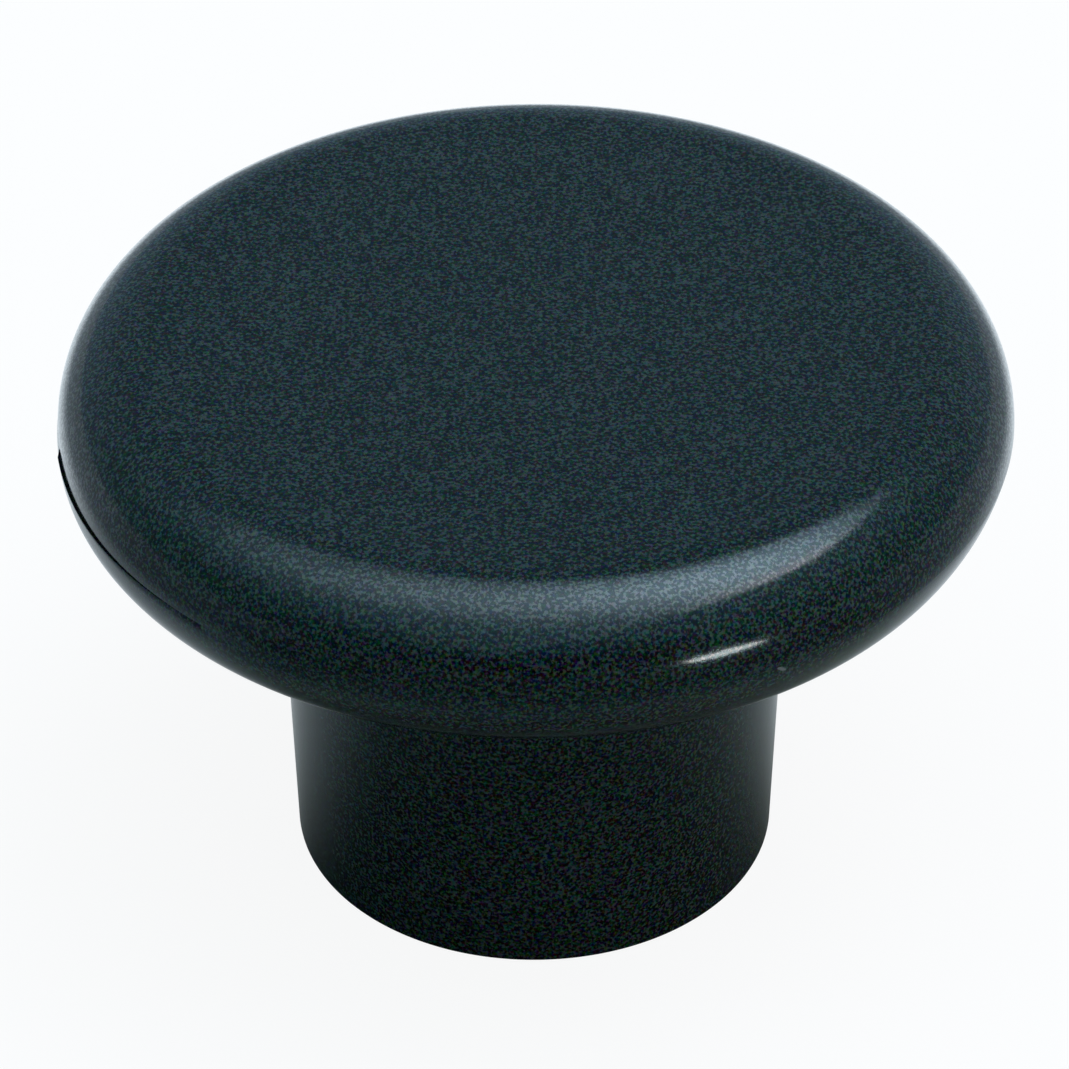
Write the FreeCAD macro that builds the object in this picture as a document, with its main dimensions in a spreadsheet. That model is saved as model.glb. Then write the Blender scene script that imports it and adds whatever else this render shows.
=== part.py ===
"""Round moulded cabinet knob: a thick disc head with a round rim on a short tapered stem.

The head and the stem are one moulding. The stem is cored from below, with an outer wall,
four ribs and a central boss, and the boss holds the threaded insert for the fixing screw.
Millimetres. The origin is the centre of the foot that seats on the drawer or door front,
and +Z runs up along the axis of the knob.
"""
import FreeCAD, Part
import math
import os
import Sketcher
from FreeCAD import Vector

PART_FOLDER = "parts"

SIZES = {
    # Head
    "head_diameter": 32.0,
    "parting_height": 17.4,
    "upper_rim_radius": 3.1,
    "lower_rim_radius": 2.9,
    # Stem
    "foot_diameter": 16.5,
    "root_diameter": 17.5,
    "root_fillet": 0.8,
    "foot_edge_radius": 0.2,
    # Coring of the stem
    "stem_wall": 1.8,
    "boss_wall": 1.4,
    "rib_thickness": 1.3,
    "roof_thickness": 5.5,
    "core_corner_radius": 0.5,
    "core_draft": 1.0,
    # Threaded insert, for a number 8 screw of 32 threads to the inch
    "insert_diameter": 5.6,
    "insert_length": 8.0,
    "insert_recess": 0.2,
    "thread_bore_diameter": 3.45,
    "thread_lead": 0.4,
    "pilot_chamfer": 0.35,
    "band_gap_width": 1.4,
    "band_gap_depth": 0.35,
    # Room for the end of the screw above the insert
    "screw_room_diameter": 4.4,
    "screw_room_depth": 5.4,
}

CORES_PER_TURN = 4

# The corners of a core are rounded by no more than this share of its width
CORNER_SHARE = 0.4

# Point numbers on a sketch curve, and the sketch's own horizontal axis with the origin on it
START = 1
END = 2
CENTRE = 3
HORIZONTAL_AXIS = -1


def make_sheet(document):
    """Write the driving sizes into the spreadsheet, one named cell each."""
    sheet = document.addObject("Spreadsheet::Sheet", "Sizes")
    for row, (name, value) in enumerate(SIZES.items(), start=1):
        sheet.set(f"A{row}", name)
        sheet.set(f"B{row}", str(value))
        sheet.setAlias(f"B{row}", name)
    document.recompute()
    return sheet


def origin_feature(body, role):
    """The body's own origin plane or axis with this role."""
    return next(item for item in body.Origin.OriginFeatures if item.Role == role)


def new_sketch(body, name, role):
    """An empty sketch on one of the body's origin planes."""
    sketch = body.newObject("Sketcher::SketchObject", name)
    sketch.AttachmentSupport = [(origin_feature(body, role), "")]
    sketch.MapMode = "FlatFace"
    return sketch


def add_line(sketch, start, end):
    return sketch.addGeometry(Part.LineSegment(Vector(*start, 0), Vector(*end, 0)), False)


def add_arc(sketch, centre, radius, start_degrees, end_degrees):
    circle = Part.Circle(Vector(*centre, 0), Vector(0, 0, 1), radius)
    arc = Part.ArcOfCircle(circle, math.radians(start_degrees), math.radians(end_degrees))
    return sketch.addGeometry(arc, False)


def add_polygon(sketch, corners):
    """A closed outline of straight edges, joined at its corners, in order."""
    count = len(corners)
    edges = [add_line(sketch, corners[k], corners[(k + 1) % count]) for k in range(count)]
    for k in range(count):
        join(sketch, edges[k], END, edges[(k + 1) % count], START)
    return edges


def join(sketch, first, first_point, second, second_point):
    sketch.addConstraint(Sketcher.Constraint("Coincident", first, first_point, second, second_point))


def blend(sketch, first, first_point, second, second_point):
    """Join two curves end to end, with one tangent."""
    sketch.addConstraint(Sketcher.Constraint("Tangent", first, first_point, second, second_point))


def level(sketch, *edges):
    for edge in edges:
        sketch.addConstraint(Sketcher.Constraint("Horizontal", edge))


def upright(sketch, *edges):
    for edge in edges:
        sketch.addConstraint(Sketcher.Constraint("Vertical", edge))


def drive(sketch, name, constraint, expression):
    """Add a named dimension and bind it to the sheet."""
    index = sketch.addConstraint(constraint)
    sketch.renameConstraint(index, name)
    sketch.setExpression(f"Constraints.{name}", expression)


def across(curve, point, value):
    """Horizontal distance of a sketch point from the origin."""
    return Sketcher.Constraint("DistanceX", HORIZONTAL_AXIS, START, curve, point, value)


def above(curve, point, value):
    """Vertical distance of a sketch point from the origin."""
    return Sketcher.Constraint("DistanceY", HORIZONTAL_AXIS, START, curve, point, value)


def turn(body, kind, name, sketch):
    """Revolve a half section a full turn about the sketch's upright axis."""
    feature = body.newObject(kind, name)
    feature.Profile = sketch
    feature.ReferenceAxis = (sketch, ["V_Axis"])
    feature.Angle = 360.0
    sketch.Visibility = False
    return feature


def ring_edges(feature, radius, height):
    """Names of the full circles of this radius at this height, centred on the axis."""
    names = []
    for number, edge in enumerate(feature.Shape.Edges, start=1):
        curve = edge.Curve
        if not isinstance(curve, Part.Circle) or len(edge.Vertexes) > 1:
            continue
        offset = math.hypot(curve.Center.x, curve.Center.y)
        if offset < 1e-6 and abs(curve.Radius - radius) < 1e-4 and abs(curve.Center.z - height) < 1e-4:
            names.append(f"Edge{number}")
    if not names:
        raise RuntimeError(f"no edge of radius {radius} at height {height} on {feature.Label}")
    return names


def dress(body, kind, name, base, edges, size_property, expression):
    """A fillet or a chamfer on the named edges of the feature before it."""
    feature = body.newObject(kind, name)
    feature.Base = (base, edges)
    feature.setExpression(size_property, expression)
    base.Visibility = False
    return feature


def head_and_stem(body):
    """The solid of revolution: tapered stem, flat underside, round rim and flat face."""
    head_radius = SIZES["head_diameter"] / 2
    foot_radius = SIZES["foot_diameter"] / 2
    root_radius = SIZES["root_diameter"] / 2
    lower = SIZES["lower_rim_radius"]
    upper = SIZES["upper_rim_radius"]
    parting = SIZES["parting_height"]
    underside_height = parting - lower
    face_height = parting + upper

    section = new_sketch(body, "head_and_stem_section", "XZ_Plane")
    seat = add_line(section, (0, 0), (foot_radius, 0))
    side = add_line(section, (foot_radius, 0), (root_radius, underside_height))
    underside = add_line(section, (root_radius, underside_height), (head_radius - lower, underside_height))
    lower_rim = add_arc(section, (head_radius - lower, parting), lower, 270, 360)
    upper_rim = add_arc(section, (head_radius - upper, parting), upper, 0, 90)
    face = add_line(section, (head_radius - upper, face_height), (0, face_height))
    axis = add_line(section, (0, face_height), (0, 0))

    join(section, seat, START, HORIZONTAL_AXIS, START)
    join(section, seat, END, side, START)
    join(section, side, END, underside, START)
    blend(section, underside, END, lower_rim, START)
    blend(section, lower_rim, END, upper_rim, START)
    blend(section, upper_rim, END, face, START)
    join(section, face, END, axis, START)
    join(section, axis, END, seat, START)
    level(section, seat, underside, face)
    upright(section, axis)
    section.addConstraint(Sketcher.Constraint("Horizontal", lower_rim, CENTRE, lower_rim, END))
    drive(section, "foot", across(seat, END, foot_radius), "Sizes.foot_diameter / 2")
    drive(section, "root", across(side, END, root_radius), "Sizes.root_diameter / 2")
    drive(section, "rim", across(lower_rim, END, head_radius), "Sizes.head_diameter / 2")
    drive(section, "parting", above(lower_rim, END, parting), "Sizes.parting_height")
    drive(section, "lower_round", Sketcher.Constraint("Radius", lower_rim, lower), "Sizes.lower_rim_radius")
    drive(section, "upper_round", Sketcher.Constraint("Radius", upper_rim, upper), "Sizes.upper_rim_radius")
    return turn(body, "PartDesign::Revolution", "head_and_stem", section)


def core_section(body):
    """One quarter core seen from below: a bent slot between boss and wall, with round corners."""
    boss_radius = SIZES["insert_diameter"] / 2 + SIZES["boss_wall"]
    core_radius = SIZES["foot_diameter"] / 2 - SIZES["stem_wall"]
    half_rib = SIZES["rib_thickness"] / 2
    corner = min(SIZES["core_corner_radius"], CORNER_SHARE * (core_radius - boss_radius))
    corner_height = half_rib + corner
    inner_reach = math.sqrt((boss_radius + corner) ** 2 - corner_height ** 2)
    outer_reach = math.sqrt((core_radius - corner) ** 2 - corner_height ** 2)
    inner_angle = math.degrees(math.atan2(corner_height, inner_reach))
    outer_angle = math.degrees(math.atan2(corner_height, outer_reach))

    section = new_sketch(body, "core_section", "XY_Plane")
    boss = add_arc(section, (0, 0), boss_radius, inner_angle, 90 - inner_angle)
    wall = add_arc(section, (0, 0), core_radius, outer_angle, 90 - outer_angle)
    rib_along_x = add_line(section, (inner_reach, half_rib), (outer_reach, half_rib))
    rib_along_y = add_line(section, (half_rib, inner_reach), (half_rib, outer_reach))
    corners = [
        add_arc(section, (outer_reach, corner_height), corner, -90, outer_angle),
        add_arc(section, (corner_height, outer_reach), corner, 90 - outer_angle, 180),
        add_arc(section, (corner_height, inner_reach), corner, 180, 270 - inner_angle),
        add_arc(section, (inner_reach, corner_height), corner, 180 + inner_angle, 270),
    ]

    join(section, boss, CENTRE, HORIZONTAL_AXIS, START)
    join(section, wall, CENTRE, HORIZONTAL_AXIS, START)
    level(section, rib_along_x)
    upright(section, rib_along_y)
    blend(section, rib_along_x, END, corners[0], START)
    blend(section, corners[0], END, wall, START)
    blend(section, wall, END, corners[1], START)
    blend(section, corners[1], END, rib_along_y, END)
    blend(section, rib_along_y, START, corners[2], START)
    blend(section, corners[2], END, boss, END)
    blend(section, boss, START, corners[3], START)
    blend(section, corners[3], END, rib_along_x, START)
    for other in corners[1:]:
        section.addConstraint(Sketcher.Constraint("Equal", corners[0], other))
    drive(section, "boss", Sketcher.Constraint("Radius", boss, boss_radius),
          "Sizes.insert_diameter / 2 + Sizes.boss_wall")
    drive(section, "wall", Sketcher.Constraint("Radius", wall, core_radius),
          "Sizes.foot_diameter / 2 - Sizes.stem_wall")
    width = "(Sizes.foot_diameter / 2 - Sizes.stem_wall - Sizes.insert_diameter / 2 - Sizes.boss_wall)"
    drive(section, "corner", Sketcher.Constraint("Radius", corners[0], corner),
          f"min(Sizes.core_corner_radius; {CORNER_SHARE} * {width})")
    drive(section, "rib_x", above(rib_along_x, START, half_rib), "Sizes.rib_thickness / 2")
    drive(section, "rib_y", across(rib_along_y, START, half_rib), "Sizes.rib_thickness / 2")
    return section


def core_stem(document, body):
    """Four drafted cores from below, which leave the wall, the ribs, the boss and a roof."""
    section = core_section(body)
    core = body.newObject("PartDesign::Pocket", "core")
    core.Profile = section
    core.Type = "Length"
    core.Reversed = True
    core.setExpression("Length", "Sizes.parting_height + Sizes.upper_rim_radius - Sizes.roof_thickness")
    core.setExpression("TaperAngle", "-Sizes.core_draft * 1 deg")
    section.Visibility = False
    document.recompute()

    cores = body.newObject("PartDesign::PolarPattern", "cores")
    cores.Originals = [core]
    cores.Axis = (origin_feature(body, "Z_Axis"), [""])
    cores.Angle = 360.0
    cores.Occurrences = CORES_PER_TURN
    body.Tip = cores
    return cores


def boss_bore(body):
    """The seat of the insert, with a shoulder at its end and a narrower room for the screw."""
    insert_radius = SIZES["insert_diameter"] / 2
    room_radius = SIZES["screw_room_diameter"] / 2
    shoulder = SIZES["insert_recess"] + SIZES["insert_length"]
    bore_end = shoulder + SIZES["screw_room_depth"]

    section = new_sketch(body, "boss_bore_section", "XZ_Plane")
    corners = [(0, 0), (insert_radius, 0), (insert_radius, shoulder),
               (room_radius, shoulder), (room_radius, bore_end), (0, bore_end)]
    mouth, seat, ledge, room, end, axis = add_polygon(section, corners)
    join(section, mouth, START, HORIZONTAL_AXIS, START)
    level(section, mouth, ledge, end)
    upright(section, seat, room, axis)
    drive(section, "seat", across(mouth, END, insert_radius), "Sizes.insert_diameter / 2")
    drive(section, "shoulder", above(seat, END, shoulder), "Sizes.insert_recess + Sizes.insert_length")
    drive(section, "room", across(ledge, END, room_radius), "Sizes.screw_room_diameter / 2")
    drive(section, "bore_end", above(room, END, bore_end),
          "Sizes.insert_recess + Sizes.insert_length + Sizes.screw_room_depth")
    return turn(body, "PartDesign::Groove", "boss_bore", section)


def make_knob_body(document):
    """The black moulding: head, stem, cores and boss."""
    body = document.addObject("PartDesign::Body", "knob_body")
    body.Label = "knob_body"
    solid = head_and_stem(body)
    document.recompute()

    underside_height = SIZES["parting_height"] - SIZES["lower_rim_radius"]
    root_ring = ring_edges(solid, SIZES["root_diameter"] / 2, underside_height)
    root = dress(body, "PartDesign::Fillet", "root_round", solid, root_ring, "Radius", "Sizes.root_fillet")
    document.recompute()

    foot_ring = ring_edges(root, SIZES["foot_diameter"] / 2, 0)
    dress(body, "PartDesign::Fillet", "foot_round", root, foot_ring, "Radius", "Sizes.foot_edge_radius")
    document.recompute()

    core_stem(document, body)
    document.recompute()

    body.Tip = boss_bore(body)
    body.Placement = FreeCAD.Placement()
    document.recompute()
    return body


def make_threaded_insert(document):
    """The turned brass insert: two bands for the knurl, a gap between them and a screw bore."""
    outer = SIZES["insert_diameter"] / 2
    bore = SIZES["thread_bore_diameter"] / 2
    length = SIZES["insert_length"]
    gap_bottom = (length - SIZES["band_gap_width"]) / 2
    gap_top = (length + SIZES["band_gap_width"]) / 2
    gap_radius = outer - SIZES["band_gap_depth"]

    body = document.addObject("PartDesign::Body", "threaded_insert")
    body.Label = "threaded_insert"

    section = new_sketch(body, "sleeve_section", "XZ_Plane")
    mouth, outside, inner_end, inside = add_polygon(
        section, [(bore, 0), (outer, 0), (outer, length), (bore, length)])
    level(section, mouth, inner_end)
    upright(section, outside, inside)
    drive(section, "mouth_height", above(mouth, START, 0), "0 mm")
    drive(section, "bore", across(mouth, START, bore), "Sizes.thread_bore_diameter / 2")
    drive(section, "outside", across(mouth, END, outer), "Sizes.insert_diameter / 2")
    drive(section, "length", above(outside, END, length), "Sizes.insert_length")
    sleeve = turn(body, "PartDesign::Revolution", "sleeve", section)
    document.recompute()

    gap_section = new_sketch(body, "band_gap_section", "XZ_Plane")
    lower, face, upper, floor = add_polygon(
        gap_section, [(gap_radius, gap_bottom), (outer, gap_bottom), (outer, gap_top), (gap_radius, gap_top)])
    level(gap_section, lower, upper)
    upright(gap_section, face, floor)
    drive(gap_section, "face", across(lower, END, outer), "Sizes.insert_diameter / 2")
    drive(gap_section, "floor", across(lower, START, gap_radius),
          "Sizes.insert_diameter / 2 - Sizes.band_gap_depth")
    drive(gap_section, "gap_bottom", above(lower, START, gap_bottom),
          "(Sizes.insert_length - Sizes.band_gap_width) / 2")
    drive(gap_section, "gap_top", above(face, END, gap_top),
          "(Sizes.insert_length + Sizes.band_gap_width) / 2")
    band_gap = turn(body, "PartDesign::Groove", "band_gap", gap_section)
    document.recompute()

    pilot_ring = ring_edges(band_gap, outer, length)
    pilot = dress(body, "PartDesign::Chamfer", "pilot", band_gap, pilot_ring, "Size", "Sizes.pilot_chamfer")
    document.recompute()

    mouth_ring = ring_edges(pilot, bore, 0)
    dress(body, "PartDesign::Chamfer", "thread_mouth", pilot, mouth_ring, "Size", "Sizes.thread_lead")
    body.setExpression("Placement.Base.z", "Sizes.insert_recess")
    document.recompute()
    return body


def check(document, bodies):
    """Stop if any feature failed or any piece isn't one sound solid."""
    for item in document.Objects:
        if "Invalid" in item.State or "Error" in item.State:
            raise RuntimeError(f"{item.Name} failed: {item.State}")
    for body in bodies:
        shape = body.Shape
        if shape.isNull() or not shape.isValid() or len(shape.Solids) != 1:
            raise RuntimeError(f"{body.Label} isn't one valid solid")


def main():
    document = FreeCAD.newDocument("cabinet_knob")
    make_sheet(document)
    bodies = [make_knob_body(document), make_threaded_insert(document)]
    check(document, bodies)
    os.makedirs(PART_FOLDER, exist_ok=True)
    for body in bodies:
        body.Shape.exportStep(f"{PART_FOLDER}/{body.Label}.step")
        box = body.Shape.BoundBox
        print(f"{body.Label}: {body.Shape.Volume:.2f} mm3, z {box.ZMin:.3f} to {box.ZMax:.3f}")


main()
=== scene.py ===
"""Looks of the round moulded cabinet knob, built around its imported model.

The gloss black moulding and its brass threaded insert each come from a half section in
millimetres, spun about the knob's axis by Geometry Nodes, which also cut the four cores, step
the rim where the two halves of the mould meet, and wind the thread and the knurl.
"""
import math

import bpy
from mathutils import Matrix, Vector


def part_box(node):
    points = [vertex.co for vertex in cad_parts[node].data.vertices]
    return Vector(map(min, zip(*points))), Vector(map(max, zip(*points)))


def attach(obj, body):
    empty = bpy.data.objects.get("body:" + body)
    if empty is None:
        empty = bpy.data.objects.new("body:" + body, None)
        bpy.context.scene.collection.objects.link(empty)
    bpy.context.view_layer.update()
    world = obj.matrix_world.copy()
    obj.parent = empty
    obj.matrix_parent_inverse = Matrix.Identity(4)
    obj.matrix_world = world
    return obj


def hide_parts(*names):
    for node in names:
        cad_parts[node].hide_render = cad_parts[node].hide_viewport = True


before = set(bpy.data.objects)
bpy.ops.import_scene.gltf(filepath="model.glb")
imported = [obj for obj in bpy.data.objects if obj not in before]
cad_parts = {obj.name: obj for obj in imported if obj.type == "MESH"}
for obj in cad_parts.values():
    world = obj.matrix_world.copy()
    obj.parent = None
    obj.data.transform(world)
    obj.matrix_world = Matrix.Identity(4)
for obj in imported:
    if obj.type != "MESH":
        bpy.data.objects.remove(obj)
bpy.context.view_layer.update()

MM = 0.001

# Sizes of the moulding, in millimetres, from the frame's boxes and the named sizes of the part
KNOB_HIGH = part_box("knob_body")[1] / MM
HEAD_RADIUS = KNOB_HIGH.x
FACE_HEIGHT = KNOB_HIGH.z
UPPER_RIM = 3.1
LOWER_RIM = 2.9
PARTING_HEIGHT = FACE_HEIGHT - UPPER_RIM
UNDERSIDE_HEIGHT = PARTING_HEIGHT - LOWER_RIM
UPPER_CENTRE = (HEAD_RADIUS - UPPER_RIM, PARTING_HEIGHT)
LOWER_CENTRE = (HEAD_RADIUS - LOWER_RIM, PARTING_HEIGHT)
FOOT_RADIUS = 8.25
ROOT_RADIUS = 8.75
ROOT_FILLET = 0.8
FOOT_EDGE = 0.2
STEM_WALL = 1.8
RIB_THICKNESS = 1.3
BOSS_WALL = 1.4
CORE_CORNER = 0.5
CORE_DRAFT = math.tan(math.radians(1.0))
ROOF_THICKNESS = 5.5
CORE_DEPTH = FACE_HEIGHT - ROOF_THICKNESS
CORES_PER_TURN = 4

# How the two halves of the mould met: the face half a little to the right, and the stem half to
# the left further down
FACE_SHIFT = 0.095
STEM_SHIFT = -0.065
SHIFT_REACH = 1.6
SHIFT_BLEND = 5.0

# The gutter between the halves on the left: it starts short and sharp, and fades out to the front
GUTTER_START = math.radians(188.7)
GUTTER_LEAD = 0.012
GUTTER_END = math.radians(231)
GUTTER_FADE = 0.60
GUTTER_CLOSES = 0.3
GUTTER_DROP = 0.17
GUTTER_DEPTH = 0.09
GUTTER_SLANT = 0.01
CURL_DEGREES = 4.2
LIP_CURL = -0.012
LIP_ROUND = 0.015
LIP_FLARE = 0.04
FLARE_TOP_DEGREES = 5
FLARE_DEGREES = 13

# The nib on the lower rim, coloured pale grey in the material, and the faint swell of the flat face
NIB_ANGLE = math.radians(299.4)
NIB_FROM_AXIS = 15.98
NIB_PLACE = (NIB_FROM_AXIS * math.cos(NIB_ANGLE), NIB_FROM_AXIS * math.sin(NIB_ANGLE), 17.20)
NIB_TURN = (0.0, math.radians(35), NIB_ANGLE + math.pi / 2)
NIB_SIZE = (0.20, 0.08, 0.07)
SWELL_HEIGHT = 0.012
SWELL_SCALE = 0.085
SWELL_LEVEL_SHARE = 0.72

# Sizes of the insert, in millimetres
INSERT_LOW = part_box("threaded_insert")[0] / MM
INSERT_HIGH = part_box("threaded_insert")[1] / MM
INSERT_RADIUS = INSERT_HIGH.x
THREAD_MINOR_RADIUS = 1.725
THREAD_DEPTH = 0.34
THREAD_PITCH = 25.4 / 32
THREAD_LEAD = 0.4
THREAD_CREST_SHARE = 0.22
THREAD_ROOT_SHARE = 0.9
ROWS_PER_PITCH = 10
PILOT_CHAMFER = 0.35
BAND_GAP_WIDTH = 1.4
BAND_GAP_DEPTH = 0.35
SCREW_ROOM_RADIUS = 2.2
SCREW_ROOM_DEPTH = 5.4
KNURL_TEETH = 60
KNURL_DEPTH = 0.11
KNURL_SLANT = 0.42
KNURL_LOW_MARGIN = 0.02
KNURL_HIGH_MARGIN = 0.36

# The floor, in millimetres: a painted pool of light, white on a rounded patch round and behind the knob,
# grey far away
FLOOR_MIDDLE = 25.0
WHITE_ACROSS = 28.0
WHITE_ALONG = 45.0
FADE_REACH = 1.9
FLOOR_NEAR = (0.85, 0.85, 0.85, 1)
FLOOR_FAR = (0.34, 0.36, 0.38, 1)
WHITE_SHARE = 0.91

# The floor as the knob's gloss mirrors it, with painted shade: darker before the knob, darkest close before
# its stem
MIRRORED_SHARE = 0.40
MIRRORED_FRONT_SHADE = (0.50, 0.50, 0.42)
MIRRORED_REACH = 20.0
REACH_ON_RIGHT = 0.45
REACH_ON_LEFT = 0.8
SHADE_MIDDLE = -10.0
SHADE_RADIUS = 8.0
SHADE_EDGE = 19.0
SHADE_LEVEL = 0.25


# Sections

def straight(start, end, steps):
    """Points along a line, closer together at its ends, without the last one."""
    points = []
    for step in range(steps):
        share = (1 - math.cos(math.pi * step / steps)) / 2
        points.append(tuple(a + (b - a) * share for a, b in zip(start, end)))
    return points


def arc(centre, radius, start_degrees, end_degrees, steps):
    """Points round an arc, without the last one."""
    points = []
    for step in range(steps):
        angle = math.radians(start_degrees + (end_degrees - start_degrees) * step / steps)
        points.append((centre[0] + radius * math.cos(angle), centre[1] + radius * math.sin(angle)))
    return points


def section_piece(name, runs):
    """A half section as a chain of points, marked by half of the mould.

    A point may carry two more numbers: how far the gutter draws it in and down."""
    points = []
    halves = []
    gutters = []
    for run, face_half in runs:
        for radius, height, *drawn in run:
            points.append((radius, 0, height))
            halves.append(face_half)
            inward, down = drawn or (0.0, 0.0)
            gutters += [inward, 0.0, down]
    mesh = bpy.data.meshes.new(name)
    mesh.from_pydata(points, [(k, k + 1) for k in range(len(points) - 1)], [])
    mesh.attributes.new("face_half", "FLOAT", "POINT").data.foreach_set("value", halves)
    mesh.attributes.new("gutter", "FLOAT_VECTOR", "POINT").data.foreach_set("vector", gutters)
    return bpy.data.objects.new(name, mesh)


def gutter_lips():
    """The rim's last points above the parting line and its first ones below.

    Where the gutter runs, those above curl down over it, and those below stand out as a small
    rounded shoulder that flares back into the rim. Elsewhere they all lie on the rim."""
    lip = (HEAD_RADIUS, PARTING_HEIGHT)
    curl_height = UPPER_RIM * math.sin(math.radians(CURL_DEGREES))
    above = []
    for radius, height in arc(UPPER_CENTRE, UPPER_RIM, CURL_DEGREES, 0, 6) + [lip]:
        share = (1 - (height - PARTING_HEIGHT) / curl_height) ** 2
        above.append((radius, height, LIP_CURL * share, GUTTER_DROP * share))
    above.append(lip + (LIP_CURL + GUTTER_SLANT, GUTTER_DROP + GUTTER_DEPTH))

    below = []
    for step in range(6):
        turn = math.radians(90 * step / 5)
        inward = LIP_ROUND * (1 - math.sin(turn)) - LIP_FLARE
        below.append(lip + (inward, GUTTER_DROP + LIP_ROUND * (1 - math.cos(turn))))
    for step in range(8):
        degrees = FLARE_TOP_DEGREES + (FLARE_DEGREES - FLARE_TOP_DEGREES) * step / 8
        share = (FLARE_DEGREES - degrees) / (FLARE_DEGREES - FLARE_TOP_DEGREES + 1)
        point = arc(LOWER_CENTRE, LOWER_RIM, -degrees, -90, 1)[0]
        below.append(point + (-LIP_FLARE * share ** 2, 0.0))
    return above, below


def moulding_section():
    """The moulding's half section, from the centre of its face round to the end of its bore."""
    taper = math.atan2(ROOT_RADIUS - FOOT_RADIUS, UNDERSIDE_HEIGHT)
    lean = math.degrees(taper)
    run_out = math.tan(taper)
    root_height = UNDERSIDE_HEIGHT - ROOT_FILLET
    root_centre = (FOOT_RADIUS + root_height * run_out + ROOT_FILLET / math.cos(taper), root_height)
    foot_centre = (FOOT_RADIUS + FOOT_EDGE * run_out - FOOT_EDGE / math.cos(taper), FOOT_EDGE)
    root_edge = arc(root_centre, ROOT_FILLET, 180 - lean, 90, 1)[0]
    foot_edge = arc(foot_centre, FOOT_EDGE, -lean, -90, 1)[0]
    shoulder = INSERT_HIGH.z
    bore_end = shoulder + SCREW_ROOM_DEPTH
    lip_above, lip_below = gutter_lips()

    face = straight((0, FACE_HEIGHT), (UPPER_CENTRE[0], FACE_HEIGHT), 30)
    rim_above = arc(UPPER_CENTRE, UPPER_RIM, 90, CURL_DEGREES, 46) + lip_above
    rim_below = lip_below + arc(LOWER_CENTRE, LOWER_RIM, -FLARE_DEGREES, -90, 38)
    underside = straight((LOWER_CENTRE[0], UNDERSIDE_HEIGHT), (root_centre[0], UNDERSIDE_HEIGHT), 10)
    root = arc(root_centre, ROOT_FILLET, 90, 180 - lean, 12)
    side = straight(root_edge, foot_edge, 14)
    foot = arc(foot_centre, FOOT_EDGE, -lean, -90, 6)
    seat = straight((foot_centre[0], 0), (INSERT_RADIUS, 0), 6)
    bore = straight((INSERT_RADIUS, 0), (INSERT_RADIUS, shoulder), 6)
    ledge = straight((INSERT_RADIUS, shoulder), (SCREW_ROOM_RADIUS, shoulder), 2)
    room = straight((SCREW_ROOM_RADIUS, shoulder), (SCREW_ROOM_RADIUS, bore_end), 4)
    end = straight((SCREW_ROOM_RADIUS, bore_end), (0, bore_end), 3) + [(0, bore_end)]
    stem = root + side + foot + seat + bore + ledge + room + end
    return section_piece("moulding_section", [(face + rim_above, 1.0), (rim_below + underside + stem, 0.0)])


def core_outline(inset):
    """One core's bent slot between boss and wall, drawn in by its draft, as (x, y) points."""
    boss = INSERT_RADIUS + BOSS_WALL
    wall = FOOT_RADIUS - STEM_WALL
    corner_height = RIB_THICKNESS / 2 + CORE_CORNER
    inner_reach = math.sqrt((boss + CORE_CORNER) ** 2 - corner_height ** 2)
    outer_reach = math.sqrt((wall - CORE_CORNER) ** 2 - corner_height ** 2)
    inner_angle = math.degrees(math.atan2(corner_height, inner_reach))
    outer_angle = math.degrees(math.atan2(corner_height, outer_reach))
    corner = CORE_CORNER - inset
    return (arc((outer_reach, corner_height), corner, -90, outer_angle, 6)
            + arc((0, 0), wall - inset, outer_angle, 90 - outer_angle, 20)
            + arc((corner_height, outer_reach), corner, 90 - outer_angle, 180, 6)
            + arc((corner_height, inner_reach), corner, 180, 270 - inner_angle, 6)
            + arc((0, 0), boss + inset, 90 - inner_angle, inner_angle, 14)
            + arc((inner_reach, corner_height), corner, 180 + inner_angle, 270, 6))


def core_piece():
    """The steel core that leaves one quarter of the hollow stem, as a closed drafted solid."""
    below = -1.0
    rings = [(below, 0.0), (0.0, 0.0), (CORE_DEPTH, CORE_DEPTH * CORE_DRAFT)]
    points = []
    for height, inset in rings:
        points += [(x, y, height) for x, y in core_outline(inset)]
    count = len(points) // len(rings)
    faces = [list(range(count))[::-1], [2 * count + k for k in range(count)]]
    for ring in range(len(rings) - 1):
        for k in range(count):
            low = ring * count
            after = (k + 1) % count
            faces.append((low + k, low + after, low + count + after, low + count + k))
    mesh = bpy.data.meshes.new("core")
    mesh.from_pydata(points, [], faces)
    return bpy.data.objects.new("core", mesh)


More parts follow.
